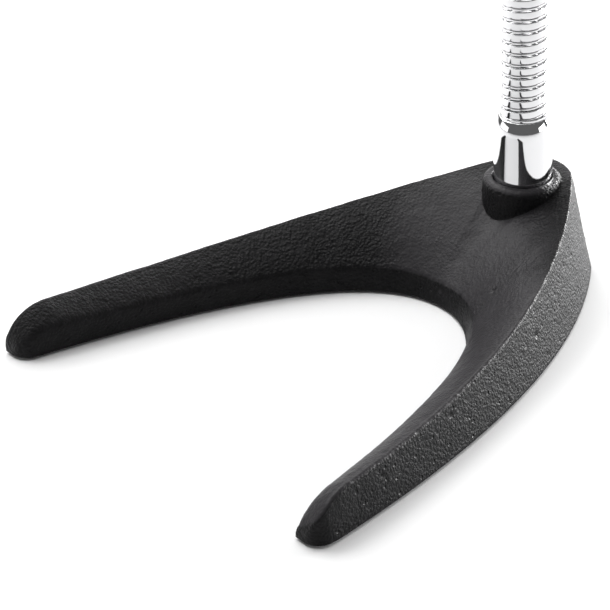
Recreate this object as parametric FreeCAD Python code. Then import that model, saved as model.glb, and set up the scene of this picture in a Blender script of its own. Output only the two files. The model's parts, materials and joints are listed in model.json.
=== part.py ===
import FreeCAD, Part
import os
import math

# Weighted V base with a flexible gooseneck stem. Millimetres, +Z up, the base opens towards +X.
# All base curves are given from the stem's axis: U forward along X, V sideways along Y.

# ---- driving dimensions -------------------------------------------------------------
STEM_X = -70.67           # stem axis, so that the base's plan box is centred on the origin
PAD_STAND = 1.0           # how far the three feet hold the casting off the table

NOSE = 16.4               # length over which a tip rolls down to the table
TIP_LIP = 0.6             # upright height left at a tip's end
TIP_ENDS = (166.0, 163.5)       # the -Y arm is a little longer than the +Y arm
TIP_OUT_ROUNDS = (1.0, 6.1)     # plan corners of each tip, outer and inner
TIP_IN_ROUNDS = (5.3, 1.0)
CREASE_BACK = 1.0         # rounding of the top's outer crease behind the boss and at the tips
CREASE_TIP = 2.4
INNER_BACK = 1.6
INNER_TIP = 2.4
ARM_STATIONS = 30

BOSS_R = 13.8             # raised boss round the stem
BOSS_TOP = 36.3           # heights below are from the casting's underside
BOSS_ROUND = 2.4
SOCKET_R = 10.55          # well in the boss that the ferrule stands in
SOCKET_FLOOR = 30.3
STUD_BORE_R = 8.1
RECESS_R = 14.0           # underside recess for washer and nut
RECESS_TOP = 9.5

FERRULE_R = 10.14
FERRULE_FOOT_R = 9.95
FERRULE_LENGTH = 29.4
FERRULE_SHOULDER = 5.8
FERRULE_LIP_R = 8.45
THREAD_R = 7.94           # 5/8 inch stand thread, at its crest
NIPPLE_SHANK_R = 7.4      # the nipple's end inside the upper ferrule
THREAD_DEPTH = 12.5
COIL_TAIL_R = 7.2         # plain end of the coil inside a ferrule
COIL_TAIL = 16.0

COIL_R = 7.95             # gooseneck outside radius
CORE_R = 7.2
BORE_R = 4.4
PITCH = 4.05              # one turn of the outer strip
BAND = 2.9                # width of the strip that shows
TURNS = 4                 # turns in one link
LINKS = 20
FIRST_BEND = 6.7          # first bend plane above the ferrule's mouth
END_GAP = 0.75            # half of the gap between links at a bend plane
BALL_R = 6.3
CUP_R = 6.6
END_RING_R = 8.65
END_RING = 2.3

PAD_R = 4.2
PAD_THICK = 2.0
PAD_REAR = (-19.2, 0.0)
PAD_LEFT = (146.0, 72.8)
PAD_RIGHT = (146.0, -72.8)

LINK = PITCH * TURNS
FERRULE_FOOT_Z = PAD_STAND + SOCKET_FLOOR
MOUTH_Z = FERRULE_FOOT_Z + FERRULE_LENGTH
HINGE_Z = MOUTH_Z + FIRST_BEND
TOP_MOUTH_Z = HINGE_Z + LINK * (LINKS - 1) + FIRST_BEND
TOP_Z = TOP_MOUTH_Z + FERRULE_LENGTH
NIPPLE_OUT = 9.5
NIPPLE_BEVEL = 0.7


def vec(x, y, z=0.0):
    return FreeCAD.Vector(x, y, z)


def at_stem(shape):
    shape.translate(vec(STEM_X, 0.0, 0.0))
    return shape


# ---- base casting -------------------------------------------------------------------

def toward(angle_deg, length):
    a = math.radians(angle_deg)
    return vec(length * math.cos(a), length * math.sin(a))


def full_curve(halves):
    """Smooth curve through both sides' points, and the length of its -Y side."""
    other = [vec(p.x, -p.y, p.z) for p in reversed(halves[0][1:])]
    curve = Part.BSplineCurve()
    curve.interpolate(other + halves[1])
    middle = curve.parameter(halves[1][0])
    return curve.toShape(), curve.length(curve.FirstParameter, middle)


def bow(start, pull, tip_pull, tip_dir, tip, heights):
    """One long bend from start, leaving along pull, to the tip along its own direction."""
    back = toward(tip_dir, tip_pull)
    curve = Part.BezierCurve()
    near = vec(start.x + pull.x, start.y + pull.y, heights[1])
    far = vec(tip[0] - back.x, tip[1] - back.y, heights[2])
    curve.setPoles([start, near, far, vec(tip[0], tip[1], heights[3])])
    return curve.toShape()


def run_on(tip, slope, height, end):
    """Straight run from the bow's end to the end of the tip."""
    side = tip[1] + (end - tip[0]) * math.tan(math.radians(slope))
    return Part.makeLine(vec(tip[0], tip[1], height), vec(end, side, height))


def outer_curve(radius, sweep, pull, tip_pull, tip_dir, tip, heights, slope):
    """Round the stem at the back, then one long bow, then a straight run to each tip's end."""
    start = vec(-radius * math.cos(math.radians(sweep)), radius * math.sin(math.radians(sweep)), heights[0])
    mid = toward(180.0 - sweep / 2.0, radius)
    arc = Part.Arc(vec(-radius, 0.0, heights[0]), vec(mid.x, mid.y, heights[0]), start)
    edges = [arc.toShape(), bow(start, toward(90.0 - sweep, pull), tip_pull, tip_dir, tip, heights)]
    halves = []
    for end in TIP_ENDS:
        wire = Part.Wire(edges + [run_on(tip, slope, heights[3], end)])
        halves.append(wire.discretize(Number=40))
    return full_curve(halves)


def inner_curve(crotch, pull, tip_pull, tip_dir, tip, heights):
    """From the middle of the crotch sideways, then forward, then straight to each tip's end."""
    start = vec(crotch, 0.0, heights[0])
    bend = bow(start, vec(0.0, pull), tip_pull, tip_dir, tip, heights)
    halves = []
    for end in TIP_ENDS:
        wire = Part.Wire([bend, run_on(tip, tip_dir, heights[3], end)])
        halves.append(wire.discretize(Number=40))
    return full_curve(halves)


def along(line, share):
    """Point at a signed share, -1 to 1, of the length from the middle to a tip."""
    edge, left = line
    side = left if share < 0.0 else edge.Length - left
    length = left + share * side
    return edge.valueAt(edge.getParameterByLength(min(max(length, 0.0), edge.Length)))


def side_shares(half_length):
    """Stations from a tip's end to the middle, close together over the rolled nose."""
    near_tip = [0.0, 0.35, 0.9, 1.7, 2.8, 4.2, 6.0, 8.2, 10.8, 14.0]
    rest = half_length - near_tip[-1]
    arm = [1.0 - (1.0 - i / ARM_STATIONS) ** 1.6 for i in range(1, ARM_STATIONS)]
    side = near_tip + [near_tip[-1] + rest * share for share in arm]
    return [1.0 - d / half_length for d in side]


def shares(left, right):
    """Signed stations from the -Y tip to the +Y tip."""
    return [-share for share in side_shares(left)] + [0.0] + side_shares(right)[::-1]


def nose(distance):
    """Share of the full height left at a distance from the tip's end."""
    if distance >= NOSE:
        return 1.0
    return math.sqrt(max(0.0, 1.0 - (1.0 - distance / NOSE) ** 2))


def corner_inset(distance, radius):
    """How far a rounded plan corner has come in at a distance from the end."""
    if distance >= radius:
        return 0.0
    return radius * (1.0 - math.sqrt(max(0.0, 1.0 - (1.0 - distance / radius) ** 2)))


def lerp(a, b, t):
    return a + (b - a) * t


def round_corner(before, corner, after, count):
    """Points of a bend from before to after with its pull at the corner, ends left out."""
    found = []
    for i in range(1, count + 1):
        t = i / (count + 1.0)
        found.append(lerp(lerp(before, corner, t), lerp(corner, after, t), t))
    return found


def section(low_out, top_out, top_in, low_in, crown, out_round, in_round):
    """One station's outline: outer wall, crease, crowned top, crease, inner wall."""
    def top(t):
        p = lerp(top_out, top_in, t)
        return vec(p.x, p.y, p.z + crown * 4.0 * t * (1.0 - t))
    width = (top_in - top_out).Length
    t0 = min(0.45, out_round / width)
    t1 = 1.0 - min(0.45, in_round / width)
    wall = (top_out - low_out).Length
    out_end = lerp(top_out, low_out, min(0.6, out_round / wall))
    in_wall = (top_in - low_in).Length
    in_start = lerp(top_in, low_in, min(0.6, in_round / in_wall))
    points = [lerp(low_out, out_end, i / 5.0) for i in range(6)]
    points += round_corner(out_end, top_out, top(t0), 4)
    points += [top(lerp(t0, t1, i / 7.0)) for i in range(8)]
    points += round_corner(top(t1), top_in, in_start, 4)
    points += [lerp(in_start, low_in, i / 3.0) for i in range(4)]
    return points


def skin_rows():
    """Outlines from the left tip round the boss to the right tip."""
    top_out = outer_curve(17.05, 45.7, 23.65, 107.15, 8.46, (151.5, 76.67),
                          (36.3, 30.56, 15.75, 15.72), 8.46)
    low_out = outer_curve(24.66, 48.84, 42.95, 89.34, 5.37, (156.0, 79.27), (0.0, 0.0, 0.0, 0.0), 0.0)
    top_in = inner_curve(37.26, 43.24, 35.5, 14.45, (156.5, 68.16), (7.34, 9.38, 7.27, 9.96))
    low_in = inner_curve(40.04, 38.71, 51.57, 11.0, (160.0, 68.23), (0.0, 0.0, 0.0, 0.0))
    left_half = low_out[1]
    right_half = low_out[0].Length - left_half
    rows = []
    for s in shares(left_half, right_half):
        half = left_half if s < 0.0 else right_half
        side = 0 if s < 0.0 else 1
        d = (1.0 - abs(s)) * half
        inner_s = math.copysign(abs(s) ** 1.4, s)
        a = along(low_out, s)
        b = along(top_out, s)
        c = along(top_in, inner_s)
        e = along(low_in, inner_s)
        across = e - a
        across.normalize()
        a = a + across * corner_inset(d, TIP_OUT_ROUNDS[side])
        b = b + across * corner_inset(d, TIP_OUT_ROUNDS[side])
        c = c - across * corner_inset(d, TIP_IN_ROUNDS[side])
        e = e - across * corner_inset(d, TIP_IN_ROUNDS[side])
        left = nose(d)
        b = vec(b.x, b.y, TIP_LIP + (b.z - TIP_LIP) * left)
        c = vec(c.x, c.y, TIP_LIP + (c.z - TIP_LIP) * left)
        if d < 0.01:
            b = vec(a.x, a.y, TIP_LIP)
            c = vec(e.x, e.y, TIP_LIP)
        crown = (0.7 + 4.0 * math.exp(-(s / 0.3) ** 2)) * left
        grow = abs(s) ** 1.5
        out_round = lerp(CREASE_BACK, CREASE_TIP, grow) * lerp(0.3, 1.0, left)
        in_round = lerp(INNER_BACK, INNER_TIP, grow) * lerp(0.3, 1.0, left)
        rows.append(section(a, b, c, e, crown, out_round, in_round))
    return rows


def edge_near(face, point):
    probe = Part.Vertex(point)
    return min(face.Edges, key=lambda e: e.distToShape(probe)[0])


def clamped_knots(count):
    """Evenly spaced cubic knots that hold the first and last pole."""
    knots = [float(i) for i in range(count - 2)]
    return knots, [4] + [1] * (count - 4) + [4]


def casting_blank():
    rows = skin_rows()
    u_knots, u_mults = clamped_knots(len(rows))
    v_knots, v_mults = clamped_knots(len(rows[0]))
    surface = Part.BSplineSurface()
    surface.buildFromPolesMultsKnots(rows, u_mults, v_mults, u_knots, v_knots, False, False, 3, 3)
    skin = surface.toShape()
    middle = rows[len(rows) // 2]
    out_edge = edge_near(skin, middle[0])
    in_edge = edge_near(skin, middle[-1])
    faces = [skin]
    ends = []
    for row in (rows[0], rows[-1]):
        line = Part.makeLine(row[0], row[-1])
        outline = edge_near(skin, row[len(row) // 2])
        faces.append(Part.Face(Part.Wire([outline, line])))
        ends.append(line)
    ring = Part.Wire(Part.__sortEdges__([out_edge, ends[0], in_edge, ends[1]]))
    faces.append(Part.Face(ring))
    shell = Part.makeShell(faces)
    shell.sewShape()
    solid = Part.makeSolid(shell)
    if solid.Volume < 0:
        solid.reverse()
    return solid


def base_casting():
    blank = casting_blank()
    boss = Part.makeCylinder(BOSS_R, BOSS_TOP - 6.0, vec(0.0, 0.0, 6.0))
    boss = soften(boss, [e for e in boss.Edges if e.BoundBox.ZMin > BOSS_TOP - 0.1], BOSS_ROUND)
    body = blank.fuse(boss)
    body = body.cut(Part.makeCylinder(SOCKET_R, 20.0, vec(0.0, 0.0, SOCKET_FLOOR)))
    body = body.cut(Part.makeCylinder(STUD_BORE_R, 60.0, vec(0.0, 0.0, -5.0)))
    body = body.cut(Part.makeCylinder(RECESS_R, RECESS_TOP + 5.0, vec(0.0, 0.0, -5.0)))
    for u, v in (PAD_REAR, PAD_LEFT, PAD_RIGHT):
        body = body.cut(Part.makeCylinder(PAD_R + 0.2, PAD_THICK - PAD_STAND, vec(u, v, 0.0)))
    body.translate(vec(0.0, 0.0, PAD_STAND))
    return at_stem(body)


def soften(solid, edges, radius):
    """Round the given edges."""
    return solid.makeFillet(radius, edges)


def foot_pad(place):
    pad = Part.makeCylinder(PAD_R, PAD_THICK, vec(place[0], place[1], 0.0))
    return at_stem(soften(pad, [e for e in pad.Edges if e.BoundBox.ZMax < 0.1], 0.4))


# ---- fixing under the boss ----------------------------------------------------------

def base_stud():
    low = PAD_STAND + RECESS_TOP - 7.6
    stud = Part.makeCylinder(THREAD_R, FERRULE_FOOT_Z + THREAD_DEPTH - 1.0 - low, vec(0.0, 0.0, low))
    stud = stud.makeChamfer(0.8, [e for e in stud.Edges if e.BoundBox.ZLength < 0.01])
    return at_stem(stud)


def lock_washer():
    z = PAD_STAND + RECESS_TOP - 1.4
    disc = Part.makeCylinder(13.0, 1.4, vec(0.0, 0.0, z))
    return at_stem(disc.cut(Part.makeCylinder(THREAD_R + 0.2, 3.0, vec(0.0, 0.0, z - 1.0))))


def hex_nut():
    z = PAD_STAND + RECESS_TOP - 1.4 - 5.6
    corners = [toward(60.0 * i, 12.7) for i in range(7)]
    prism = Part.Face(Part.makePolygon(corners)).extrude(vec(0.0, 0.0, 5.6))
    prism.translate(vec(0.0, 0.0, z))
    cone = Part.makeCone(15.5, 11.4, 7.6, vec(0.0, 0.0, z + 5.6), vec(0.0, 0.0, -1.0))
    prism = prism.common(cone)
    return at_stem(prism.cut(Part.makeCylinder(THREAD_R, 8.0, vec(0.0, 0.0, z - 1.0))))


# ---- ferrules and ends --------------------------------------------------------------

def spun(points, arcs=()):
    """Solid turned round the stem axis from radius and height pairs."""
    edges = []
    for i in range(len(points)):
        a = vec(points[i][0], 0.0, points[i][1])
        b_index = (i + 1) % len(points)
        b = vec(points[b_index][0], 0.0, points[b_index][1])
        if i in arcs:
            m = vec(arcs[i][0], 0.0, arcs[i][1])
            edges.append(Part.Arc(a, m, b).toShape())
        else:
            edges.append(Part.makeLine(a, b))
    face = Part.Face(Part.Wire(edges))
    return face.revolve(vec(0.0, 0.0, 0.0), vec(0.0, 0.0, 1.0), 360.0)


def ferrule(thread_r):
    """Foot at height 0, mouth at FERRULE_LENGTH, with a domed shoulder."""
    top = FERRULE_LENGTH
    lip = FERRULE_LIP_R
    drop = FERRULE_R - lip
    dome = (drop * drop + FERRULE_SHOULDER ** 2) / (2.0 * drop)
    half = math.asin(FERRULE_SHOULDER / dome) / 2.0
    bend_r = FERRULE_R - dome * (1.0 - math.cos(half))
    bend_z = top - FERRULE_SHOULDER + dome * math.sin(half)
    points = [(thread_r, 0.0), (FERRULE_FOOT_R - 0.5, 0.0), (FERRULE_FOOT_R, 0.5),
              (FERRULE_R, 12.0), (FERRULE_R, top - FERRULE_SHOULDER), (lip, top),
              (COIL_TAIL_R, top), (COIL_TAIL_R, THREAD_DEPTH), (thread_r, THREAD_DEPTH)]
    return spun(points, {4: (bend_r, bend_z)})


def lower_ferrule():
    body = ferrule(THREAD_R)
    body.translate(vec(0.0, 0.0, FERRULE_FOOT_Z))
    return at_stem(body)


def upper_ferrule():
    body = ferrule(NIPPLE_SHANK_R)
    body.rotate(vec(0.0, 0.0, 0.0), vec(1.0, 0.0, 0.0), 180.0)
    body.translate(vec(0.0, 0.0, TOP_Z))
    return at_stem(body)


def end_ring(z):
    """Last closing turn of the strip, standing in a ferrule's mouth."""
    r0 = COIL_TAIL_R
    r1 = END_RING_R
    points = [(r0, 0.0), (r1 - 0.5, 0.0), (r1, 0.6),
              (r1, END_RING - 0.6), (r1 - 0.5, END_RING), (r0, END_RING)]
    body = spun(points)
    body.translate(vec(0.0, 0.0, z))
    return at_stem(body)


def upper_nipple():
    low = TOP_Z - THREAD_DEPTH + 1.0
    high = TOP_Z + NIPPLE_OUT
    bore = 4.6
    points = [(bore, low), (NIPPLE_SHANK_R, low), (NIPPLE_SHANK_R, TOP_Z), (THREAD_R, TOP_Z),
              (THREAD_R, high - NIPPLE_BEVEL), (THREAD_R - NIPPLE_BEVEL, high), (bore, high)]
    return at_stem(spun(points))


# ---- gooseneck ----------------------------------------------------------------------

def turns(low, high, first, count):
    """Grooved coil body between two heights; the strip's turns are centred first + n * PITCH."""
    points = [(COIL_TAIL_R - 2.0, low), (CORE_R, low)]
    for n in range(count):
        mid = first + n * PITCH
        a = max(mid - BAND / 2.0, low)
        b = min(mid + BAND / 2.0, high)
        points += [(CORE_R, a), (COIL_R - 0.15, a), (COIL_R, a + 0.35), (COIL_R, b - 0.35),
                   (COIL_R - 0.15, b), (CORE_R, b)]
    points += [(CORE_R, high), (COIL_TAIL_R - 2.0, high)]
    clean = [points[0]]
    for p in points[1:]:
        if abs(p[0] - clean[-1][0]) + abs(p[1] - clean[-1][1]) > 0.01:
            clean.append(p)
    return spun(clean)


def ball(z):
    """Rounded upper end that the next link's cup turns on."""
    sphere = Part.makeSphere(BALL_R, vec(0.0, 0.0, z))
    keep = Part.makeCylinder(BALL_R + 1.0, BALL_R + 4.0, vec(0.0, 0.0, z - 3.0))
    return sphere.common(keep).cut(Part.makeCylinder(BORE_R, 40.0, vec(0.0, 0.0, z - 20.0)))


def coil_piece(low, high, first, count, cup_at=None, ball_at=None):
    body = turns(low, high, first, count)
    body = body.fuse(Part.makeCylinder(CORE_R - 1.0, high - low, vec(0.0, 0.0, low)))
    body = body.cut(Part.makeCylinder(BORE_R, high - low + 2.0, vec(0.0, 0.0, low - 1.0)))
    if ball_at is not None:
        body = body.fuse(ball(ball_at))
    if cup_at is not None:
        body = body.cut(Part.makeSphere(CUP_R, vec(0.0, 0.0, cup_at)))
    return body.removeSplitter()


def neck_root():
    low = MOUTH_Z - COIL_TAIL
    tail = Part.makeCylinder(COIL_TAIL_R, COIL_TAIL + END_RING - 0.8, vec(0.0, 0.0, low))
    tail = tail.cut(Part.makeCylinder(BORE_R, 60.0, vec(0.0, 0.0, low - 5.0)))
    first = HINGE_Z - PITCH / 2.0
    body = coil_piece(MOUTH_Z + END_RING - 0.8, HINGE_Z - END_GAP, first, 1, None, HINGE_Z)
    return at_stem(tail.fuse(body).removeSplitter())


def neck_link(index):
    z = HINGE_Z + LINK * (index - 1)
    body = coil_piece(z + END_GAP, z + LINK - END_GAP, z + PITCH / 2.0, TURNS, z, z + LINK)
    return at_stem(body)


def last_link():
    z = HINGE_Z + LINK * (LINKS - 1)
    body = coil_piece(z + END_GAP, TOP_MOUTH_Z - END_RING + 0.8, z + PITCH / 2.0, 1, z, None)
    low = TOP_MOUTH_Z - END_RING + 0.8
    tail = Part.makeCylinder(COIL_TAIL_R, COIL_TAIL + END_RING - 0.8, vec(0.0, 0.0, low))
    tail = tail.cut(Part.makeCylinder(BORE_R, 60.0, vec(0.0, 0.0, low - 5.0)))
    body = body.fuse(tail).cut(Part.makeSphere(CUP_R, vec(0.0, 0.0, z)))
    return at_stem(body.removeSplitter())


# ---- write the parts ----------------------------------------------------------------

def all_parts():
    parts = {"base_casting": base_casting()}
    parts["foot_pad_rear"] = foot_pad(PAD_REAR)
    parts["foot_pad_left"] = foot_pad(PAD_LEFT)
    parts["foot_pad_right"] = foot_pad(PAD_RIGHT)
    parts["base_stud"] = base_stud()
    parts["lock_washer"] = lock_washer()
    parts["hex_nut"] = hex_nut()
    parts["lower_ferrule"] = lower_ferrule()
    parts["lower_end_ring"] = end_ring(MOUTH_Z - 0.8)
    parts["neck_root"] = neck_root()
    for index in range(1, LINKS):
        parts["neck_link_%02d" % index] = neck_link(index)
    parts["neck_link_%02d" % LINKS] = last_link()
    parts["upper_end_ring"] = end_ring(TOP_MOUTH_Z + 0.8 - END_RING)
    parts["upper_ferrule"] = upper_ferrule()
    parts["upper_nipple"] = upper_nipple()
    return parts


os.makedirs("parts", exist_ok=True)
for name, shape in all_parts().items():
    if not shape.isValid():
        raise ValueError("%s has a broken shape" % name)
    shape.exportStep("parts/%s.step" % name)
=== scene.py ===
"""Weighted V base with a chrome gooseneck stem: surfaces, finishes, lights and camera."""

import json
import math

import bpy
import numpy as np
from mathutils import Matrix, Vector


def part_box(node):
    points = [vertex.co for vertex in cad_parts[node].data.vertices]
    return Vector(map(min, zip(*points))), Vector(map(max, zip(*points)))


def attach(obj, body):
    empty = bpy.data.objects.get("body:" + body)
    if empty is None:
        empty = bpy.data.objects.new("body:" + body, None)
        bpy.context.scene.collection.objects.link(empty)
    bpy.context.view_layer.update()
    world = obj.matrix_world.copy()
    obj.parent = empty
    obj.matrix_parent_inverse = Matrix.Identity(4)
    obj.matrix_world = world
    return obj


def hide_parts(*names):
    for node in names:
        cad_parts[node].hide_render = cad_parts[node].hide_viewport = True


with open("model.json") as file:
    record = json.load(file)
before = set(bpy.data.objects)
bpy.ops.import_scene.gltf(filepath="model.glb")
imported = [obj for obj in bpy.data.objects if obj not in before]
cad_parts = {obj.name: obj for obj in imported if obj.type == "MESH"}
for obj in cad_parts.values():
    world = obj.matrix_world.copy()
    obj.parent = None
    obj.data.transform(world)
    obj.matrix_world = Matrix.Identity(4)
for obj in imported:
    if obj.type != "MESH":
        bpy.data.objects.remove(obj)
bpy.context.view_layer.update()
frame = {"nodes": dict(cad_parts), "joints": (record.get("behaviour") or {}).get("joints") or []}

MM = 0.001
TWO_PI = 2.0 * math.pi

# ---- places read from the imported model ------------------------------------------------
ferrule_low, ferrule_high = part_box("lower_ferrule")
STEM_X = (ferrule_low.x + ferrule_high.x) / 2.0
MOUTH_Z = ferrule_high.z
top_low, top_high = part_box("upper_ferrule")
TOP_MOUTH_Z = top_low.z
CASTING_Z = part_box("base_casting")[0].z
HINGES = [j["pos_m"][2] for j in frame["joints"]]
LINK = HINGES[1] - HINGES[0]
PITCH = LINK / 4.0


# ---- mesh from grids ------------------------------------------------------------------

def quads(rows, cols, wrap_rows):
    """Corner numbers of every cell of a rows x cols grid whose columns close, wound one way round."""
    r, c = np.meshgrid(np.arange(rows if wrap_rows else rows - 1), np.arange(cols), indexing="ij")
    r1, c1 = (r + 1) % rows, (c + 1) % cols
    cells = np.stack([r * cols + c, r * cols + c1, r1 * cols + c1, r1 * cols + c], -1)
    return cells.reshape(-1, 4)


def mesh_piece(name, grid, wrap_rows=False, flip=False):
    """One closed piece from a grid of points; a fan from its middle closes an open first or last row."""
    rows, cols = grid.shape[:2]
    points = grid.reshape(-1, 3)
    faces = quads(rows, cols, wrap_rows)
    loops = faces.ravel()
    totals = np.full(len(faces), 4)
    if not wrap_rows:
        middle = np.stack([grid[0].mean(0), grid[-1].mean(0)])
        points = np.concatenate([points, middle])
        c = np.arange(cols)
        c1 = (c + 1) % cols
        first = np.stack([c1, c, np.full(cols, rows * cols)], -1)
        base = (rows - 1) * cols
        last = np.stack([base + c, base + c1, np.full(cols, rows * cols + 1)], -1)
        loops = np.concatenate([loops, first.ravel(), last.ravel()])
        totals = np.concatenate([totals, np.full(2 * cols, 3)])
    starts = np.concatenate([[0], np.cumsum(totals)[:-1]])
    mesh = bpy.data.meshes.new(name)
    mesh.vertices.add(len(points))
    mesh.vertices.foreach_set("co", points.astype(np.float32).ravel())
    mesh.loops.add(len(loops))
    mesh.loops.foreach_set("vertex_index", loops.astype(np.int32))
    mesh.polygons.add(len(totals))
    mesh.polygons.foreach_set("loop_start", starts.astype(np.int32))
    mesh.polygons.foreach_set("loop_total", totals.astype(np.int32))
    mesh.polygons.foreach_set("use_smooth", np.ones(len(totals), bool))
    mesh.update(calc_edges=True)
    if flip:
        mesh.flip_normals()
    piece = bpy.data.objects.new(name, mesh)
    bpy.context.scene.collection.objects.link(piece)
    return piece


def rounded(corners, radii, steps=6):
    """Closed profile whose corners are bends: each is a parabola pulled at the corner point."""
    p = np.asarray(corners, float)
    before, after = np.roll(p, 1, 0), np.roll(p, -1, 0)
    cut = np.asarray(radii, float)[:, None]
    a = p + (before - p) / np.linalg.norm(before - p, axis=1, keepdims=True) * cut
    b = p + (after - p) / np.linalg.norm(after - p, axis=1, keepdims=True) * cut
    t = np.linspace(0.0, 1.0, steps)[None, :, None]
    bend = (1 - t) ** 2 * a[:, None] + 2 * t * (1 - t) * p[:, None] + t ** 2 * b[:, None]
    # two extra points keep the flats flat beside each bend
    lead = a + (before - a) * 0.06
    trail = b + (after - b) * 0.06
    return np.concatenate([lead[:, None], bend, trail[:, None]], 1).reshape(-1, 2)


def turned(name, profile, segments=160):
    """Turned piece: a closed (radius, height) profile in millimetres carried round the stem axis."""
    angle = np.linspace(0.0, TWO_PI, segments, endpoint=False)[:, None]
    r, z = profile[None, :, 0] * MM, profile[None, :, 1] * MM
    grid = np.stack([STEM_X + r * np.cos(angle), r * np.sin(angle), z + 0 * angle], -1)
    return mesh_piece(name, grid, wrap_rows=True, flip=True)


# ---- repeatable noise -----------------------------------------------------------------

def lattice_value(cell, seed):
    """Number from 0 to 1 that depends only on a whole-number cell and a seed."""
    c = cell.astype(np.int64)
    h = c[..., 0] * 374761393 + c[..., 1] * 668265263 + c[..., 2] * 2147483647 + seed * 974634777
    h = (h ^ (h >> 13)) * 1274126177 & 0xFFFFFFFF
    h = (h ^ (h >> 16)) * 2246822519 & 0xFFFFFFFF
    return ((h ^ (h >> 15)) & 0xFFFFFF) / float(0xFFFFFF)


def smooth_noise(points, size, seed):
    """Soft noise from -1 to 1: lattice values eased between cells of the given size."""
    p = points / size
    cell = np.floor(p)
    f = p - cell
    f = f * f * (3.0 - 2.0 * f)
    total = np.zeros(len(points))
    for dx in (0, 1):
        for dy in (0, 1):
            for dz in (0, 1):
                w = np.abs(1 - dx - f[:, 0]) * np.abs(1 - dy - f[:, 1]) * np.abs(1 - dz - f[:, 2])
                total += w * lattice_value(cell + (dx, dy, dz), seed)
    return total * 2.0 - 1.0


def spots(points, size, seed, share, radius):
    """Round spots: 1 at the middle of a chosen share of jittered cells, 0 beyond their radius."""
    p = points / size
    cell = np.floor(p)
    found = np.zeros(len(points))
    for dx in (-1, 0, 1):
        for dy in (-1, 0, 1):
            for dz in (-1, 0, 1):
                other = cell + (dx, dy, dz)
                middle = other + np.stack([lattice_value(other, seed + k) for k in (1, 2, 3)], -1)
                reach = radius / size * (0.5 + lattice_value(other, seed + 5))
                chosen = lattice_value(other, seed + 4) < share
                away = np.linalg.norm(p - middle, axis=1) / reach
                found = np.maximum(found, np.where(chosen, np.clip(1.0 - away ** 2, 0.0, 1.0) ** 2, 0.0))
    return found


# ---- the casting ----------------------------------------------------------------------
# U runs forward from the stem axis, V to the side, both in millimetres.

NOSE = 16.4                     # length over which a tip rounds down
TIP_LIP = 0.6                   # height left at the very end of a tip
TIP_ENDS = (166.0, 163.5)       # where the -Y and +Y arms end
TIP_OUT_ROUNDS = (1.0, 6.1)     # plan corners of the two tips, outer side
TIP_IN_ROUNDS = (5.3, 1.0)      # and inner side
CREASE = (1.0, 2.4)             # bend between top and outer wall, at the nose and at a tip
INNER_CREASE = (0.8, 2.4)       # bend between top and inner wall, at the crotch and at a tip
BOSS_R, BOSS_TOP, BOSS_ROUND = 13.8, 36.3, 2.4
SOCKET_R, SOCKET_FLOOR = 10.55, 30.3
BORE_R = 8.1
RECESS_R, RECESS_ROOF = 14.0, 9.5
DENT = (STEM_X / MM + 37.5, 24.0, CASTING_Z / MM + 15.3)    # a small hollow in the inner wall


def bezier(p0, p1, p2, p3, count=400):
    t = np.linspace(0.0, 1.0, count)[:, None]
    p0, p1, p2, p3 = (np.asarray(p, float) for p in (p0, p1, p2, p3))
    return (1 - t) ** 3 * p0 + 3 * (1 - t) ** 2 * t * p1 + 3 * (1 - t) * t ** 2 * p2 + t ** 3 * p3


def heading(degrees):
    return np.array([math.cos(math.radians(degrees)), math.sin(math.radians(degrees)), 0.0])


def outer_line(radius, sweep, pull, tip_pull, tip_dir, tip, heights):
    """Half of an outer line: an arc round the stem, then a four-point bend to the tip."""
    turn = np.radians(np.linspace(180.0, 180.0 - sweep, 60))
    arc = np.stack([radius * np.cos(turn), radius * np.sin(turn), np.full(60, heights[0])], -1)
    start = arc[-1]
    near = start + heading(90.0 - sweep) * pull
    end = np.array([tip[0], tip[1], heights[3]])
    far = end - heading(tip_dir) * tip_pull
    near[2], far[2] = heights[1], heights[2]
    return np.concatenate([arc[:-1], bezier(start, near, far, end)])


def inner_line(crotch, pull, tip_pull, tip_dir, tip, heights):
    """Half of an inner line: one four-point bend from the crotch to the tip."""
    end = np.array([tip[0], tip[1], heights[3]])
    far = end - heading(tip_dir) * tip_pull
    far[2] = heights[2]
    return bezier([crotch, 0.0, heights[0]], [crotch, pull, heights[1]], far, end)


def run_on(line, slope, end):
    """The half line with a straight run added up to the tip's end."""
    last = line[-1]
    side = last[1] + (end - last[0]) * math.tan(math.radians(slope))
    return np.concatenate([line, [[end, side, last[2]]]])


def both_sides(line, slope):
    return [run_on(line, slope, end) for end in TIP_ENDS]


def along(lines, share):
    """Points at signed shares of the -Y and +Y half lines' lengths."""
    sides = []
    for line in lines:
        step = np.linalg.norm(np.diff(line, axis=0), axis=1)
        run = np.concatenate([[0.0], np.cumsum(step)])
        at = np.abs(share) * run[-1]
        sides.append(np.stack([np.interp(at, run, line[:, k]) for k in range(3)], -1))
    sides[0][:, 1] *= -1.0
    return np.where(share[:, None] < 0, sides[0], sides[1])


def line_length(line):
    return float(np.linalg.norm(np.diff(line, axis=0), axis=1).sum())


def mix(a, b, t):
    return a + (b - a) * t


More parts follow.
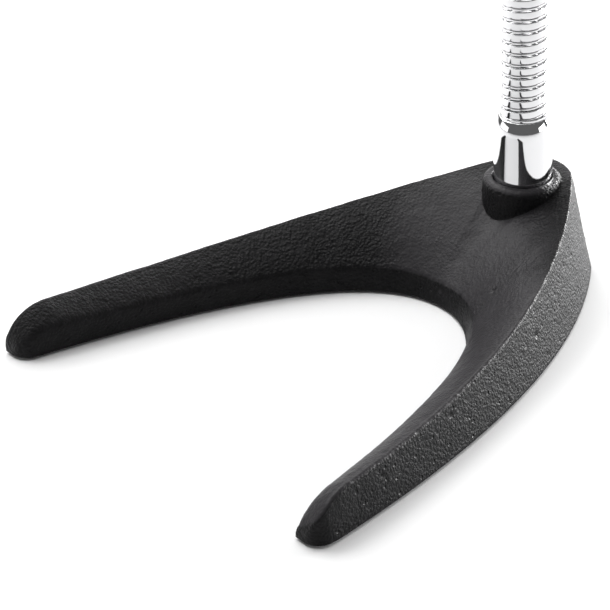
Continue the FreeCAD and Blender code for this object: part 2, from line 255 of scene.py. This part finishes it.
def skin_grid(rows_per_side=330):
    """The whole skin as a grid: rows run from tip to tip, columns go once round the section.

    A section joins four points, low outer, top outer, top inner, low inner, by straight walls,
    a top raised by crown * 4 t (1 - t), and parabolic bends at both creases. Near a tip the
    heights shrink by the square root rule of a quarter ellipse and the plan corners come in.
    """
    flat_heights = (0.0, 0.0, 0.0, 0.0)
    low_out = both_sides(outer_line(24.66, 48.84, 42.95, 89.34, 5.37, (156.0, 79.27), flat_heights), 0.0)
    top_out = both_sides(outer_line(17.05, 45.7, 23.65, 107.15, 8.46, (151.5, 76.67),
                                    (36.3, 30.56, 15.75, 15.72)), 8.46)
    top_in = both_sides(inner_line(37.26, 43.24, 35.5, 14.45, (156.5, 68.16),
                                   (7.34, 9.38, 7.27, 9.96)), 14.45)
    low_in = both_sides(inner_line(40.04, 38.71, 51.57, 11.0, (160.0, 68.23), flat_heights), 11.0)
    even = np.linspace(0.0, 1.0, rows_per_side)
    side = 1.0 - (even - 0.8 * np.sin(even * math.pi) / math.pi * (1.0 - even) ** 2)
    s = np.concatenate([-side, side[::-1][1:]])
    half = np.where(s < 0, line_length(low_out[0]), line_length(low_out[1]))
    d = (1.0 - np.abs(s)) * half
    inner_s = np.sign(s) * np.abs(s) ** 1.4
    a, b, c, e = along(low_out, s), along(top_out, s), along(top_in, inner_s), along(low_in, inner_s)
    across = e - a
    across /= np.linalg.norm(across, axis=1, keepdims=True)

    def corner_inset(radius):
        near = np.clip(1.0 - d / radius, 0.0, 1.0)
        return (radius * (1.0 - np.sqrt(1.0 - near ** 2)))[:, None]

    out_in = corner_inset(np.where(s < 0, TIP_OUT_ROUNDS[0], TIP_OUT_ROUNDS[1]))
    in_in = corner_inset(np.where(s < 0, TIP_IN_ROUNDS[0], TIP_IN_ROUNDS[1]))
    a, b = a + across * out_in, b + across * out_in
    c, e = c - across * in_in, e - across * in_in
    left = np.sqrt(1.0 - np.clip(1.0 - d / NOSE, 0.0, 1.0) ** 2)
    b[:, 2] = TIP_LIP + (b[:, 2] - TIP_LIP) * left
    c[:, 2] = TIP_LIP + (c[:, 2] - TIP_LIP) * left
    end = np.clip(1.0 - d / 1.5, 0.0, 1.0)[:, None]
    b[:, :2] = mix(b[:, :2], a[:, :2], end)
    c[:, :2] = mix(c[:, :2], e[:, :2], end)
    crown = ((0.7 + 4.0 * np.exp(-(s / 0.3) ** 2)) * left)[:, None]
    grow = np.abs(s) ** 1.5
    scale = 0.3 + 0.7 * left
    out_round = mix(CREASE[0], CREASE[1], grow) * scale
    in_round = mix(INNER_CREASE[0], INNER_CREASE[1], grow) * scale

    width = np.linalg.norm(c - b, axis=1)
    t0 = np.minimum(0.45, out_round / width)[:, None]
    t1 = 1.0 - np.minimum(0.45, in_round / width)[:, None]

    def top(t):
        p = mix(b[:, None], c[:, None], t[..., None])
        p[..., 2] += crown * 4.0 * t * (1.0 - t)
        return p

    def bend(p, q, r, count):
        t = np.linspace(0.0, 1.0, count + 2)[1:-1][None, :, None]
        p, q, r = p[:, None], q[:, None], r[:, None]
        return mix(mix(p, q, t), mix(q, r, t), t)

    def run(p, q, count, last=True):
        t = np.linspace(0.0, 1.0, count)[None, :, None]
        line = mix(p[:, None], q[:, None], t)
        return line if last else line[:, :-1]

    wall = np.linalg.norm(b - a, axis=1)
    in_wall = np.linalg.norm(c - e, axis=1)
    out_end = mix(b, a, np.minimum(0.6, out_round / wall)[:, None])
    in_start = mix(c, e, np.minimum(0.6, in_round / in_wall)[:, None])
    flat = np.linspace(0.0, 1.0, 50)[None, :]
    grid = np.concatenate([
        run(a, out_end, 34), bend(out_end, b, top(t0)[:, 0], 6),
        top(mix(t0, t1, flat)), bend(top(t1)[:, 0], c, in_start, 6),
        run(in_start, e, 14), run(e, a, 8)[:, 1:-1]], 1)
    grid = grid * MM
    grid[..., 0] += STEM_X
    grid[..., 2] += CASTING_Z
    return grid


def cutter(name, radius, low, high, x=None, y=0.0, segments=96):
    """Plain round tool body for a hole, in millimetres above the table."""
    angle = np.linspace(0.0, TWO_PI, segments, endpoint=False)[None, :]
    z = np.array([low, high])[:, None] * MM
    x = STEM_X if x is None else x
    ring = np.stack([x + radius * MM * np.cos(angle) + 0 * z, y + radius * MM * np.sin(angle) + 0 * z,
                     z + 0 * angle], -1)
    return mesh_piece(name, ring)


def combine(body, tool, operation):
    """Joins or cuts with a tool body and takes the tool away."""
    step = body.modifiers.new(operation, "BOOLEAN")
    step.operation = operation
    step.solver = "EXACT"
    step.object = tool
    bpy.context.view_layer.update()
    graph = bpy.context.evaluated_depsgraph_get()
    made = bpy.data.meshes.new_from_object(body.evaluated_get(graph))
    body.modifiers.clear()
    old = body.data
    body.data = made
    bpy.data.meshes.remove(old)
    bpy.data.objects.remove(tool)
    return body


def boss_body():
    """The boss as a turned solid with a domed rim, its foot sunk in the skin."""
    z0 = CASTING_Z / MM
    arc = np.radians(np.linspace(0.0, 90.0, 10))
    rim_r, rim_z = BOSS_R - BOSS_ROUND, z0 + BOSS_TOP - BOSS_ROUND
    rim = np.stack([rim_r + BOSS_ROUND * np.cos(arc), rim_z + BOSS_ROUND * np.sin(arc)], -1)
    wall = np.stack([np.linspace(BOSS_R + 0.5, BOSS_R, 24), np.linspace(z0 + 16.0, rim_z - 0.1, 24)], -1)
    top = np.stack([np.linspace(rim_r - 0.2, 6.0, 8), np.full(8, z0 + BOSS_TOP)], -1)
    side = np.concatenate([[[6.0, z0 + 16.0], [10.0, z0 + 16.0]], wall, rim, top])
    return turned("boss_tool", side, 180)


def roughen(piece):
    """Sand-cast skin: soft swells, fine lumps, scattered pits and a few raised specks."""
    mesh = piece.data
    count = len(mesh.vertices)
    co = np.zeros(count * 3, np.float32)
    mesh.vertices.foreach_get("co", co)
    co = co.reshape(-1, 3).astype(float)
    normal = np.zeros(count * 3, np.float32)
    mesh.vertices.foreach_get("normal", normal)
    normal = normal.reshape(-1, 3)
    mm = co / MM
    lift = 0.12 * smooth_noise(mm, 13.0, 11) + 0.05 * smooth_noise(mm, 4.1, 23)
    lift += 0.045 * smooth_noise(mm, 1.9, 31) + 0.035 * smooth_noise(mm, 1.05, 37)
    upright = np.clip((0.55 - np.abs(normal[:, 2])) / 0.25, 0.0, 1.0)
    lift -= (0.25 + 0.45 * upright) * spots(mm, 6.5, 47, 0.22, 1.25)
    lift += (0.10 + 0.22 * upright) * spots(mm, 4.0, 61, 0.30, 1.0)
    dent = np.linalg.norm((mm - DENT) / (1.5, 1.0, 1.5), axis=1)
    lift -= 0.7 * np.clip(1.0 - dent ** 2, 0.0, 1.0)
    above = np.clip((co[:, 2] - CASTING_Z) / MM - 0.3, 0.0, 1.0)
    near = np.hypot(co[:, 0] - STEM_X, co[:, 1]) / MM
    free = above * np.clip((near - 10.9) / 1.5, 0.0, 1.0)
    co += normal * (lift * free * MM)[:, None]
    low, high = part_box("base_casting")
    co = np.clip(co, np.array(low), np.array(high))
    mesh.vertices.foreach_set("co", co.astype(np.float32).ravel())
    mesh.update()


def casting():
    """The skin with its boss joined on, and its socket, bore, nut recess and pad seats cut out."""
    body = mesh_piece("casting_skin", skin_grid())
    body = combine(body, boss_body(), "UNION")
    z0 = CASTING_Z / MM
    body = combine(body, cutter("socket_tool", SOCKET_R, z0 + SOCKET_FLOOR, z0 + 45.0), "DIFFERENCE")
    body = combine(body, cutter("bore_tool", BORE_R, -5.0, z0 + 40.0), "DIFFERENCE")
    body = combine(body, cutter("recess_tool", RECESS_R, -5.0, z0 + RECESS_ROOF), "DIFFERENCE")
    for name in ("foot_pad_rear", "foot_pad_left", "foot_pad_right"):
        low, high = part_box(name)
        tool = cutter(name + "_tool", (high.x - low.x) / 2 / MM + 0.2, -1.0, high.z / MM,
                      (low.x + high.x) / 2, (low.y + high.y) / 2)
        body = combine(body, tool, "DIFFERENCE")
    body.name = "casting_skin"
    roughen(body)
    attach(body, "base")
    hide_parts("base_casting")
    return body


# ---- chrome ---------------------------------------------------------------------------

def ferrule_profile(z, up, thread_r):
    """Closed profile of a ferrule: foot, almost straight side, arc shoulder, mouth, bore."""
    long, shoulder, lip, r, foot = (ferrule_high.z - ferrule_low.z) / MM, 5.8, 8.45, 10.14, 9.95
    drop = r - lip
    dome = (drop ** 2 + shoulder ** 2) / (2.0 * drop)
    arc = np.linspace(0.0, math.asin(shoulder / dome), 20)
    bow = np.stack([r - dome * (1.0 - np.cos(arc)), long - shoulder + dome * np.sin(arc)], -1)
    side = np.stack([np.linspace(foot, r, 10), np.linspace(0.5, 12.0, 10)], -1)
    foot_bend = np.array([[thread_r + 0.3, 0.0], [foot - 0.5, 0.0],
                          [foot - 0.22, 0.06], [foot - 0.06, 0.22]])
    straight = np.stack([np.full(8, r), np.linspace(13.0, long - shoulder - 0.3, 8)], -1)
    mouth = np.array([[lip - 0.12, long - 0.01], [lip - 0.3, long], [7.5, long], [7.2, long - 0.3]])
    inside = np.array([[7.2, 13.0], [7.2, 12.5], [thread_r, 12.5], [thread_r, 12.0], [thread_r, 0.4],
                       [thread_r + 0.06, 0.1]])
    bow[-1] += (-0.02, -0.08)
    p = np.concatenate([foot_bend, side, straight, bow, mouth, inside])
    p[:, 1] = z / MM + p[:, 1] * up
    return p


def make_ferrules():
    """The polished ferrule in the boss and the same turned part, foot up, at the upper end."""
    lower = turned("ferrule_lower", ferrule_profile(ferrule_low.z, 1, 7.94), 192)
    upper = turned("ferrule_upper", ferrule_profile(top_high.z, -1, 7.4), 192)
    upper.data.flip_normals()
    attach(lower, "base")
    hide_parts("lower_ferrule")
    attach(upper, frame["joints"][-1]["child"])
    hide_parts("upper_ferrule")
    return [lower, upper]


COIL_START = 0.591  # direction of turn number zero, in radians
END_AT = 150.0      # where round the stem the closing turn ends, in degrees
COIL_Z = HINGES[0]
WIRE_DROP = -1.93   # the inner rib's height from the middle of the strip, mm


def coil(name, section, first_turn, turns, per_turn=96):
    """A wire's closed (radius, height) section carried up a right-hand screw about the stem.

    Point = (r cos a, r sin a, z + PITCH a / 2 pi), so the wire climbs one PITCH a turn.
    """
    count = max(2, int(round(turns * per_turn)) + 1)
    turn = np.linspace(first_turn, first_turn + turns, count)[:, None]
    r = section[None, :, 0] * MM + 0 * turn
    z = section[None, :, 1] * MM + turn * PITCH
    angle = turn * TWO_PI + COIL_START
    grid = np.stack([STEM_X + r * np.cos(angle), r * np.sin(angle), z], -1)
    return mesh_piece(name, grid, flip=True)


def band(r, half, bow, edge, root):
    """Wire section with an almost flat outer face, rounded edges and flanks sloping to a root."""
    x = np.linspace(-1.0, 1.0, 17)
    x = np.sign(x) * np.abs(x) ** 0.7
    face = np.stack([r - bow * x ** 2 - edge * np.abs(x) ** 14, half * x], -1)
    inside = np.array([[r - 0.45, half * 0.97], [root + 0.2, 0.45 * half], [root, 0.0],
                       [root + 0.2, -0.45 * half], [r - 0.45, -half * 0.97]])
    return np.concatenate([face, inside])


def strip_section():
    """The outer strip, which shows as the neck's broad ribs."""
    return band(7.95, 1.25, 0.025, 0.09, 6.3)


def wire_section():
    """Narrow inner rib showing between the strip's turns, nearer the turn above."""
    p = band(7.74, 0.43, 0.10, 0.08, 6.6)
    p[:, 1] += WIRE_DROP
    return p


def shifted(section):
    """A section lifted from height zero to the first joint."""
    p = section.copy()
    p[:, 1] += COIL_Z / MM
    return p


def cut_turn(joint, z, offset):
    """The turn, nearest the bend at height z, where a wire passes the joint's own axis.

    Cut there, the two ends stay together however far the joint bends.
    """
    across = math.pi / 2.0 if abs(joint["axis"][1]) > 0.5 else 0.0
    here = (across - COIL_START) / TWO_PI
    want = (z - COIL_Z - offset * MM) / PITCH
    return here + round((want - here) * 2.0) / 2.0


def make_neck():
    """Two coils, cut where each joint's axis passes, so that every length rides on one link."""
    made = []
    joints = frame["joints"]
    bodies = ["base"] + [j["child"] for j in joints]
    nodes = ["neck_root"] + ["neck_link_%02d" % (k + 1) for k in range(len(joints))]
    low_turn = (MOUTH_Z - 0.004 - COIL_Z) / PITCH
    high_turn = (TOP_MOUTH_Z + 0.004 - COIL_Z) / PITCH
    wires = (("strip", strip_section(), 0.0), ("wire", wire_section(), WIRE_DROP))
    for kind, section, offset in wires:
        cuts = [cut_turn(j, z, offset) for j, z in zip(joints, HINGES)]
        ends = [low_turn] + cuts + [high_turn]
        for k, body in enumerate(bodies):
            piece = coil("neck_%s_%02d" % (kind, k), shifted(section), ends[k], ends[k + 1] - ends[k])
            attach(piece, body)
            made.append(piece)
    for piece, node in zip(made, nodes):
        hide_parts(node)
    return made


def make_end_rings():
    """Closing turn at each ferrule: the strip's last turn, springing a little off the coil."""
    found = []
    for name, node, body, up in (("end_ring_lower", "lower_end_ring", "base", 1),
                                 ("end_ring_upper", "upper_end_ring", frame["joints"][-1]["child"], -1)):
        low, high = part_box(node)
        middle = (low.z + high.z) / 2.0
        corners = [(7.25, -0.50), (7.95, -0.50), (7.95, 0.50), (7.25, 0.50)]
        section = rounded(corners, [0.15, 0.30, 0.30, 0.15], 5)
        turn = np.linspace(0.0, 1.0, 129)[:, None]
        spring = 0.05 + 0.80 * turn ** 4
        angle = math.radians(END_AT) + (turn - 1.0) * TWO_PI * 1.02
        r = (section[None, :, 0] + spring) * MM
        z = middle + (section[None, :, 1] + (turn - 0.5) * 0.7) * MM * up
        grid = np.stack([STEM_X + r * np.cos(angle), r * np.sin(angle) * up, z], -1)
        piece = mesh_piece(name, grid, flip=True)
        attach(piece, body)
        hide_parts(node)
        found.append(piece)
    return found


def make_thread():
    """Male stand thread: 27 turns an inch, sixty degree vees with rounded crest and root."""
    low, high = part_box("upper_nipple")
    shoulder = top_high.z / MM
    top = high.z / MM
    lead = 25.4 / 27.0
    z = np.linspace(shoulder, top, 110)
    angle = np.linspace(0.0, TWO_PI, 96, endpoint=False)[:, None]
    phase = (z[None] / lead - angle / TWO_PI) % 1.0
    vee = np.abs(phase * 2.0 - 1.0)
    depth = 0.55 * np.clip(1.25 * vee - 0.1, 0.0, 1.0)
    ease = np.clip((z - shoulder - 0.2) / 0.5, 0, 1) * np.ones_like(angle)
    bevel = np.clip((z - (top - 0.7)) / 0.7, 0.0, 1.0) * 0.7
    r_out = 7.94 - np.maximum(depth * ease, bevel[None])
    inner_z = np.linspace(top - 0.3, low.z / MM + 0.2, 6)
    shank_z = np.linspace(low.z / MM, shoulder - 0.02, 4)
    z_all = np.concatenate([shank_z, z, [top], inner_z])
    ones = np.ones_like(angle)
    r_all = np.concatenate([7.4 * np.ones(4) * ones, r_out, 4.9 * ones, 4.6 * np.ones(6) * ones], 1)
    grid = np.stack([STEM_X + r_all * MM * np.cos(angle), r_all * MM * np.sin(angle),
                     z_all[None] * MM + 0 * angle], -1)
    piece = mesh_piece("thread_upper", grid, wrap_rows=True, flip=True)
    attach(piece, frame["joints"][-1]["child"])
    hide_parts("upper_nipple")
    return piece


# ---- finishes -------------------------------------------------------------------------

def new_group(name, inputs, outputs):
    group = bpy.data.node_groups.new(name, "ShaderNodeTree")
    for label, kind, value in inputs:
        socket = group.interface.new_socket(name=label, in_out="INPUT", socket_type=kind)
        if value is not None:
            socket.default_value = value
    for label, kind in outputs:
        group.interface.new_socket(name=label, in_out="OUTPUT", socket_type=kind)
    return group


class Nodes:
    """Short way to place and wire nodes in one tree."""

    def __init__(self, tree):
        self.tree = tree

    def add(self, kind, **settings):
        node = self.tree.nodes.new(kind)
        for key, value in settings.items():
            if key.startswith("in_"):
                node.inputs[key[3:].replace("_", " ")].default_value = value
            else:
                setattr(node, key, value)
        return node

    def wire(self, a, b):
        self.tree.links.new(a, b)

    def noise(self, where, scale, detail=2.0, rough=0.5):
        node = self.add("ShaderNodeTexNoise", in_Scale=scale, in_Detail=detail, in_Roughness=rough)
        self.wire(where, node.inputs["Vector"])
        return node.outputs["Fac"]

    def math(self, operation, a, b=0.0, clamp=False):
        node = self.add("ShaderNodeMath", operation=operation, use_clamp=clamp)
        for i, value in enumerate((a, b)):
            if isinstance(value, (int, float)):
                node.inputs[i].default_value = value
            else:
                self.wire(value, node.inputs[i])
        return node.outputs[0]

    def span(self, value, low, high, to_low=0.0, to_high=1.0, smooth=False):
        node = self.add("ShaderNodeMapRange")
        if smooth:
            node.interpolation_type = "SMOOTHSTEP"
        self.wire(value, node.inputs[0])
        for i, x in enumerate((low, high, to_low, to_high)):
            node.inputs[i + 1].default_value = x
        return node.outputs[0]


def sand_grain_group():
    """Grain of a sand casting under paint: height of fine crystals and coarser lumps."""
    group = new_group("sand_grain",
                      [("Place", "NodeSocketVector", None), ("Grain", "NodeSocketFloat", 1.0)],
                      [("Height", "NodeSocketFloat")])
    n = Nodes(group)
    given = n.add("NodeGroupInput")
    out = n.add("NodeGroupOutput")
    place = given.outputs["Place"]
    fine = n.noise(place, 2100.0, 2.0, 0.7)
    cells = n.add("ShaderNodeTexVoronoi", in_Scale=950.0)
    n.wire(place, cells.inputs["Vector"])
    bead = n.span(cells.outputs["Distance"], 0.0, 0.75, 1.0, 0.0)
    coarse = n.noise(place, 330.0, 3.0, 0.55)
    height = n.math("ADD", n.math("MULTIPLY", bead, 0.5), n.math("MULTIPLY", fine, 0.5))
    height = n.math("ADD", n.math("MULTIPLY", height, given.outputs["Grain"]),
                    n.math("MULTIPLY", coarse, 0.45))
    n.wire(height, out.inputs["Height"])
    return group


def new_material(name, **settings):
    material = bpy.data.materials.new(name)
    material.use_nodes = True
    n = Nodes(material.node_tree)
    shader = material.node_tree.nodes["Principled BSDF"]
    for key, value in settings.items():
        shader.inputs[key.replace("_", " ")].default_value = value
    where = n.add("ShaderNodeTexCoord").outputs["Object"]
    return material, n, shader, where


def bump(n, height, strength, distance, shader, before=None):
    node = n.add("ShaderNodeBump", in_Strength=strength, in_Distance=distance)
    n.wire(height, node.inputs["Height"])
    if before is not None:
        n.wire(before, node.inputs["Normal"])
    n.wire(node.outputs["Normal"], shader.inputs["Normal"])
    return node.outputs["Normal"]


def black_casting_finish(grain):
    """Black paint over the cast skin, grainy on the arms and smoothed by rubbing behind the crotch and
    on the right arm's top, where a painted sheen also lightens the colour, as on the boss top.
    """
    material, n, shader, where = new_material("black_casting_paint", Metallic=0.0)
    shader.inputs["Specular IOR Level"].default_value = 0.16
    split = n.add("ShaderNodeSeparateXYZ")
    n.wire(where, split.inputs[0])
    forward = n.math("SUBTRACT", split.outputs["X"], STEM_X + 0.028)
    side = split.outputs["Y"]
    away = n.math("SQRT", n.math("ADD", n.math("MULTIPLY", forward, forward),
                                 n.math("MULTIPLY", n.math("MULTIPLY", side, side), 0.6)))
    # Smooth zone behind the crotch: the grain is eased here, and the same mask lightens the paint colour
    # as a painted sheen.
    rubbed_and_sheen = n.span(n.math("ADD", away, n.math("MULTIPLY", n.noise(where, 60.0, 3.0), 0.02)),
                    0.022, 0.045, 1.0, 0.0, smooth=True)
    facing = n.add("ShaderNodeSeparateXYZ")
    n.wire(n.add("ShaderNodeTexCoord").outputs["Normal"], facing.inputs[0])
    upright = n.span(n.math("ABSOLUTE", facing.outputs["Z"]), 0.35, 0.6, 1.0, 0.0, smooth=True)
    # The right arm's top joins the smooth zone, so it too gets smoother grain and a painted sheen.
    right_arm = n.math("MULTIPLY", n.span(side, 0.012, 0.030, smooth=True),
                       n.span(split.outputs["X"], STEM_X + 0.016, STEM_X + 0.04, smooth=True))
    rubbed_and_sheen = n.math("MULTIPLY", n.math("MAXIMUM", rubbed_and_sheen, right_arm), n.math("SUBTRACT", 1.0, upright))
    # Top face of the boss, lightened in colour further down as a painted sheen.
    boss_top = n.span(split.outputs["Z"], CASTING_Z + 0.0352, CASTING_Z + 0.0362, smooth=True)
    node = n.add("ShaderNodeGroup")
    node.node_tree = grain
    n.wire(where, node.inputs["Place"])
    n.wire(n.math("SUBTRACT", 1.35, n.math("ADD", rubbed_and_sheen, n.math("MULTIPLY", upright, 0.5))),
           node.inputs["Grain"])
    pit = n.add("ShaderNodeTexVoronoi", in_Scale=260.0)
    n.wire(where, pit.inputs["Vector"])
    hollow = n.span(pit.outputs["Distance"], 0.08, 0.20, 1.0, 0.0, smooth=True)
    pitted = n.math("MULTIPLY", hollow, upright)
    height = n.math("SUBTRACT", node.outputs["Height"], n.math("MULTIPLY", pitted, 0.9))
    bump(n, height, 0.8, 0.00055, shader)
    patches = n.noise(where, 85.0, 4.0, 0.6)
    rough = n.math("ADD", n.span(patches, 0.3, 0.7, 0.32, 0.46), n.math("MULTIPLY", upright, 0.10))
    n.wire(rough, shader.inputs["Roughness"])
    tint = n.add("ShaderNodeValToRGB")
    tint.color_ramp.elements[0].color = (0.0018, 0.0018, 0.0022, 1)
    tint.color_ramp.elements[1].color = (0.034, 0.032, 0.035, 1)
    dust = n.span(n.noise(where, 240.0, 3.0, 0.6), 0.3, 0.75, 0.0, 0.18)
    # Painted sheen: the paint colour is lifted on the smooth zone and on the boss top.
    painted_sheen = n.math("ADD", n.math("MULTIPLY", rubbed_and_sheen, 0.75), n.math("MULTIPLY", boss_top, 0.7))
    n.wire(n.math("ADD", dust, painted_sheen, clamp=True), tint.inputs[0])
    n.wire(tint.outputs[0], shader.inputs["Base Color"])
    return material


def chrome_finish(name, colour, low, high, scale):
    """Bright plating with faint cloudy haze and hairline wiping marks."""
    material, n, shader, where = new_material(name, Metallic=1.0)
    tint = n.add("ShaderNodeValToRGB")
    tint.color_ramp.elements[0].color = (*[c * 0.97 for c in colour], 1)
    tint.color_ramp.elements[1].color = (*colour, 1)
    haze = n.noise(where, scale, 4.0, 0.6)
    n.wire(haze, tint.inputs[0])
    n.wire(tint.outputs[0], shader.inputs["Base Color"])
    n.wire(n.span(haze, 0.3, 0.7, low, high), shader.inputs["Roughness"])
    stretch = n.add("ShaderNodeMapping")
    stretch.inputs["Scale"].default_value = (1.0, 1.0, 9.0)
    n.wire(where, stretch.inputs["Vector"])
    marks = n.noise(stretch.outputs[0], 900.0, 2.0)
    bump(n, marks, 0.02, 0.0001, shader)
    return material


def zinc_finish():
    material, n, shader, where = new_material("zinc_plate", Metallic=1.0)
    tint = n.add("ShaderNodeValToRGB")
    tint.color_ramp.elements[0].color = (0.42, 0.43, 0.42, 1)
    tint.color_ramp.elements[1].color = (0.66, 0.66, 0.62, 1)
    cloud = n.noise(where, 300.0, 4.0, 0.6)
    n.wire(cloud, tint.inputs[0])
    n.wire(tint.outputs[0], shader.inputs["Base Color"])
    n.wire(n.span(cloud, 0.3, 0.7, 0.28, 0.42), shader.inputs["Roughness"])
    bump(n, n.noise(where, 1400.0), 0.08, 0.0001, shader)
    return material


def rubber_finish():
    material, n, shader, where = new_material("foot_rubber")
    tint = n.add("ShaderNodeValToRGB")
    tint.color_ramp.elements[0].color = (0.012, 0.012, 0.012, 1)
    tint.color_ramp.elements[1].color = (0.035, 0.034, 0.033, 1)
    n.wire(n.noise(where, 500.0, 3.0), tint.inputs[0])
    n.wire(tint.outputs[0], shader.inputs["Base Color"])
    n.wire(n.span(n.noise(where, 220.0), 0.3, 0.7, 0.7, 0.9), shader.inputs["Roughness"])
    bump(n, n.noise(where, 2500.0), 0.2, 0.0001, shader)
    return material


def dress(piece, material):
    piece.data.materials.clear()
    piece.data.materials.append(material)


def finish_all(pieces_by_finish):
    """Gives each finish to its pieces."""
    for material, pieces in pieces_by_finish:
        for piece in pieces:
            dress(piece, material)


# ---- studio ---------------------------------------------------------------------------
# name: azimuth and rise in degrees, distance, width and height in metres, watts

WORLD = 0.15
LAMPS = {
    "softbox_back": (182.0, 7.0, 1.2, (1.1, 0.35), 52.0),
    "softbox_backdrop": (226.0, 30.0, 1.4, (1.2, 0.7), 5.5),
    "softbox_side": (-84.0, 48.0, 1.4, (1.3, 1.0), 15.0),
    "softbox_top": (-90.0, 78.0, 1.6, (1.5, 1.2), 13.0),
    "softbox_right": (125.0, 9.0, 1.2, (0.7, 0.30), 2.2),
    "softbox_left": (-38.0, 10.0, 1.2, (0.9, 0.35), 1.6),
}


def studio():
    """Pale floor, an even dim world and the soft lamps."""
    bpy.ops.mesh.primitive_plane_add(size=6.0)
    floor = bpy.context.object
    floor.name = "studio_floor"
    material, _, shader, _ = new_material("studio_floor", Roughness=0.9)
    shader.inputs["Base Color"].default_value = (0.93, 0.93, 0.93, 1)
    floor.data.materials.append(material)
    world = bpy.data.worlds.new("studio")
    bpy.context.scene.world = world
    world.use_nodes = True
    world.node_tree.nodes["Background"].inputs["Color"].default_value = (1, 1, 1, 1)
    world.node_tree.nodes["Background"].inputs["Strength"].default_value = WORLD
    bpy.context.scene.view_settings.view_transform = "Standard"
    for name, (azimuth, rise, away, size, power) in LAMPS.items():
        a, e = math.radians(azimuth), math.radians(rise)
        flat = away * math.cos(e)
        place = (STEM_X + flat * math.cos(a), flat * math.sin(a), away * math.sin(e))
        lamp(name, place, (0.0, 0.0, 0.0), size, power)


def lamp(name, place, aim, size, power):
    light = bpy.data.lights.new(name, "AREA")
    light.shape = "RECTANGLE"
    light.size, light.size_y = size
    light.energy = power
    rig = bpy.data.objects.new(name, light)
    rig.location = place
    rig.rotation_euler = (Vector(aim) - Vector(place)).to_track_quat("-Z", "Y").to_euler()
    bpy.context.scene.collection.objects.link(rig)
    return rig


LENS = 137.618  # mm, on a sensor 36 mm wide


def camera():
    """Looks down on the crotch of the V from in front and to the side."""
    place = Vector((STEM_X + 0.51539, 0.50645, CASTING_Z + 0.40524))
    turn, pitch, roll = (math.radians(x) for x in (219.393, 30.173, 2.151))

    def to_row(x, y, z):
        """A direction turned about +Z by the camera's own turn."""
        return Vector((x * math.cos(turn) + y * math.sin(turn),
                       -x * math.sin(turn) + y * math.cos(turn), z))

    rise = (0.0, math.sin(pitch), math.cos(pitch))
    ahead = to_row(0.0, math.cos(pitch), -math.sin(pitch))
    right = to_row(math.cos(roll), -math.sin(roll) * rise[1], -math.sin(roll) * rise[2])
    up = to_row(math.sin(roll), math.cos(roll) * rise[1], math.cos(roll) * rise[2])
    data = bpy.data.cameras.new("camera")
    data.sensor_width = 36.0
    data.lens = LENS
    rig = bpy.data.objects.new("camera", data)
    matrix = Matrix((right, up, -ahead)).transposed().to_4x4()
    matrix.translation = place
    rig.matrix_world = matrix
    bpy.context.scene.collection.objects.link(rig)
    bpy.context.scene.camera = rig


# ---- build ----------------------------------------------------------------------------

skin = casting()
ferrules = make_ferrules()
neck = make_neck()
rings = make_end_rings()
thread = make_thread()
nodes = frame["nodes"]
finish_all([
    (black_casting_finish(sand_grain_group()), [skin]),
    (chrome_finish("ferrule_chrome", (0.70, 0.70, 0.71), 0.02, 0.05, 120.0), ferrules + [thread]),
    (chrome_finish("neck_chrome", (0.67, 0.67, 0.68), 0.04, 0.08, 200.0), neck + rings),
    (zinc_finish(), [nodes[x] for x in ("base_stud", "lock_washer", "hex_nut")]),
    (rubber_finish(), [nodes[x] for x in ("foot_pad_rear", "foot_pad_left", "foot_pad_right")]),
])
studio()
camera()
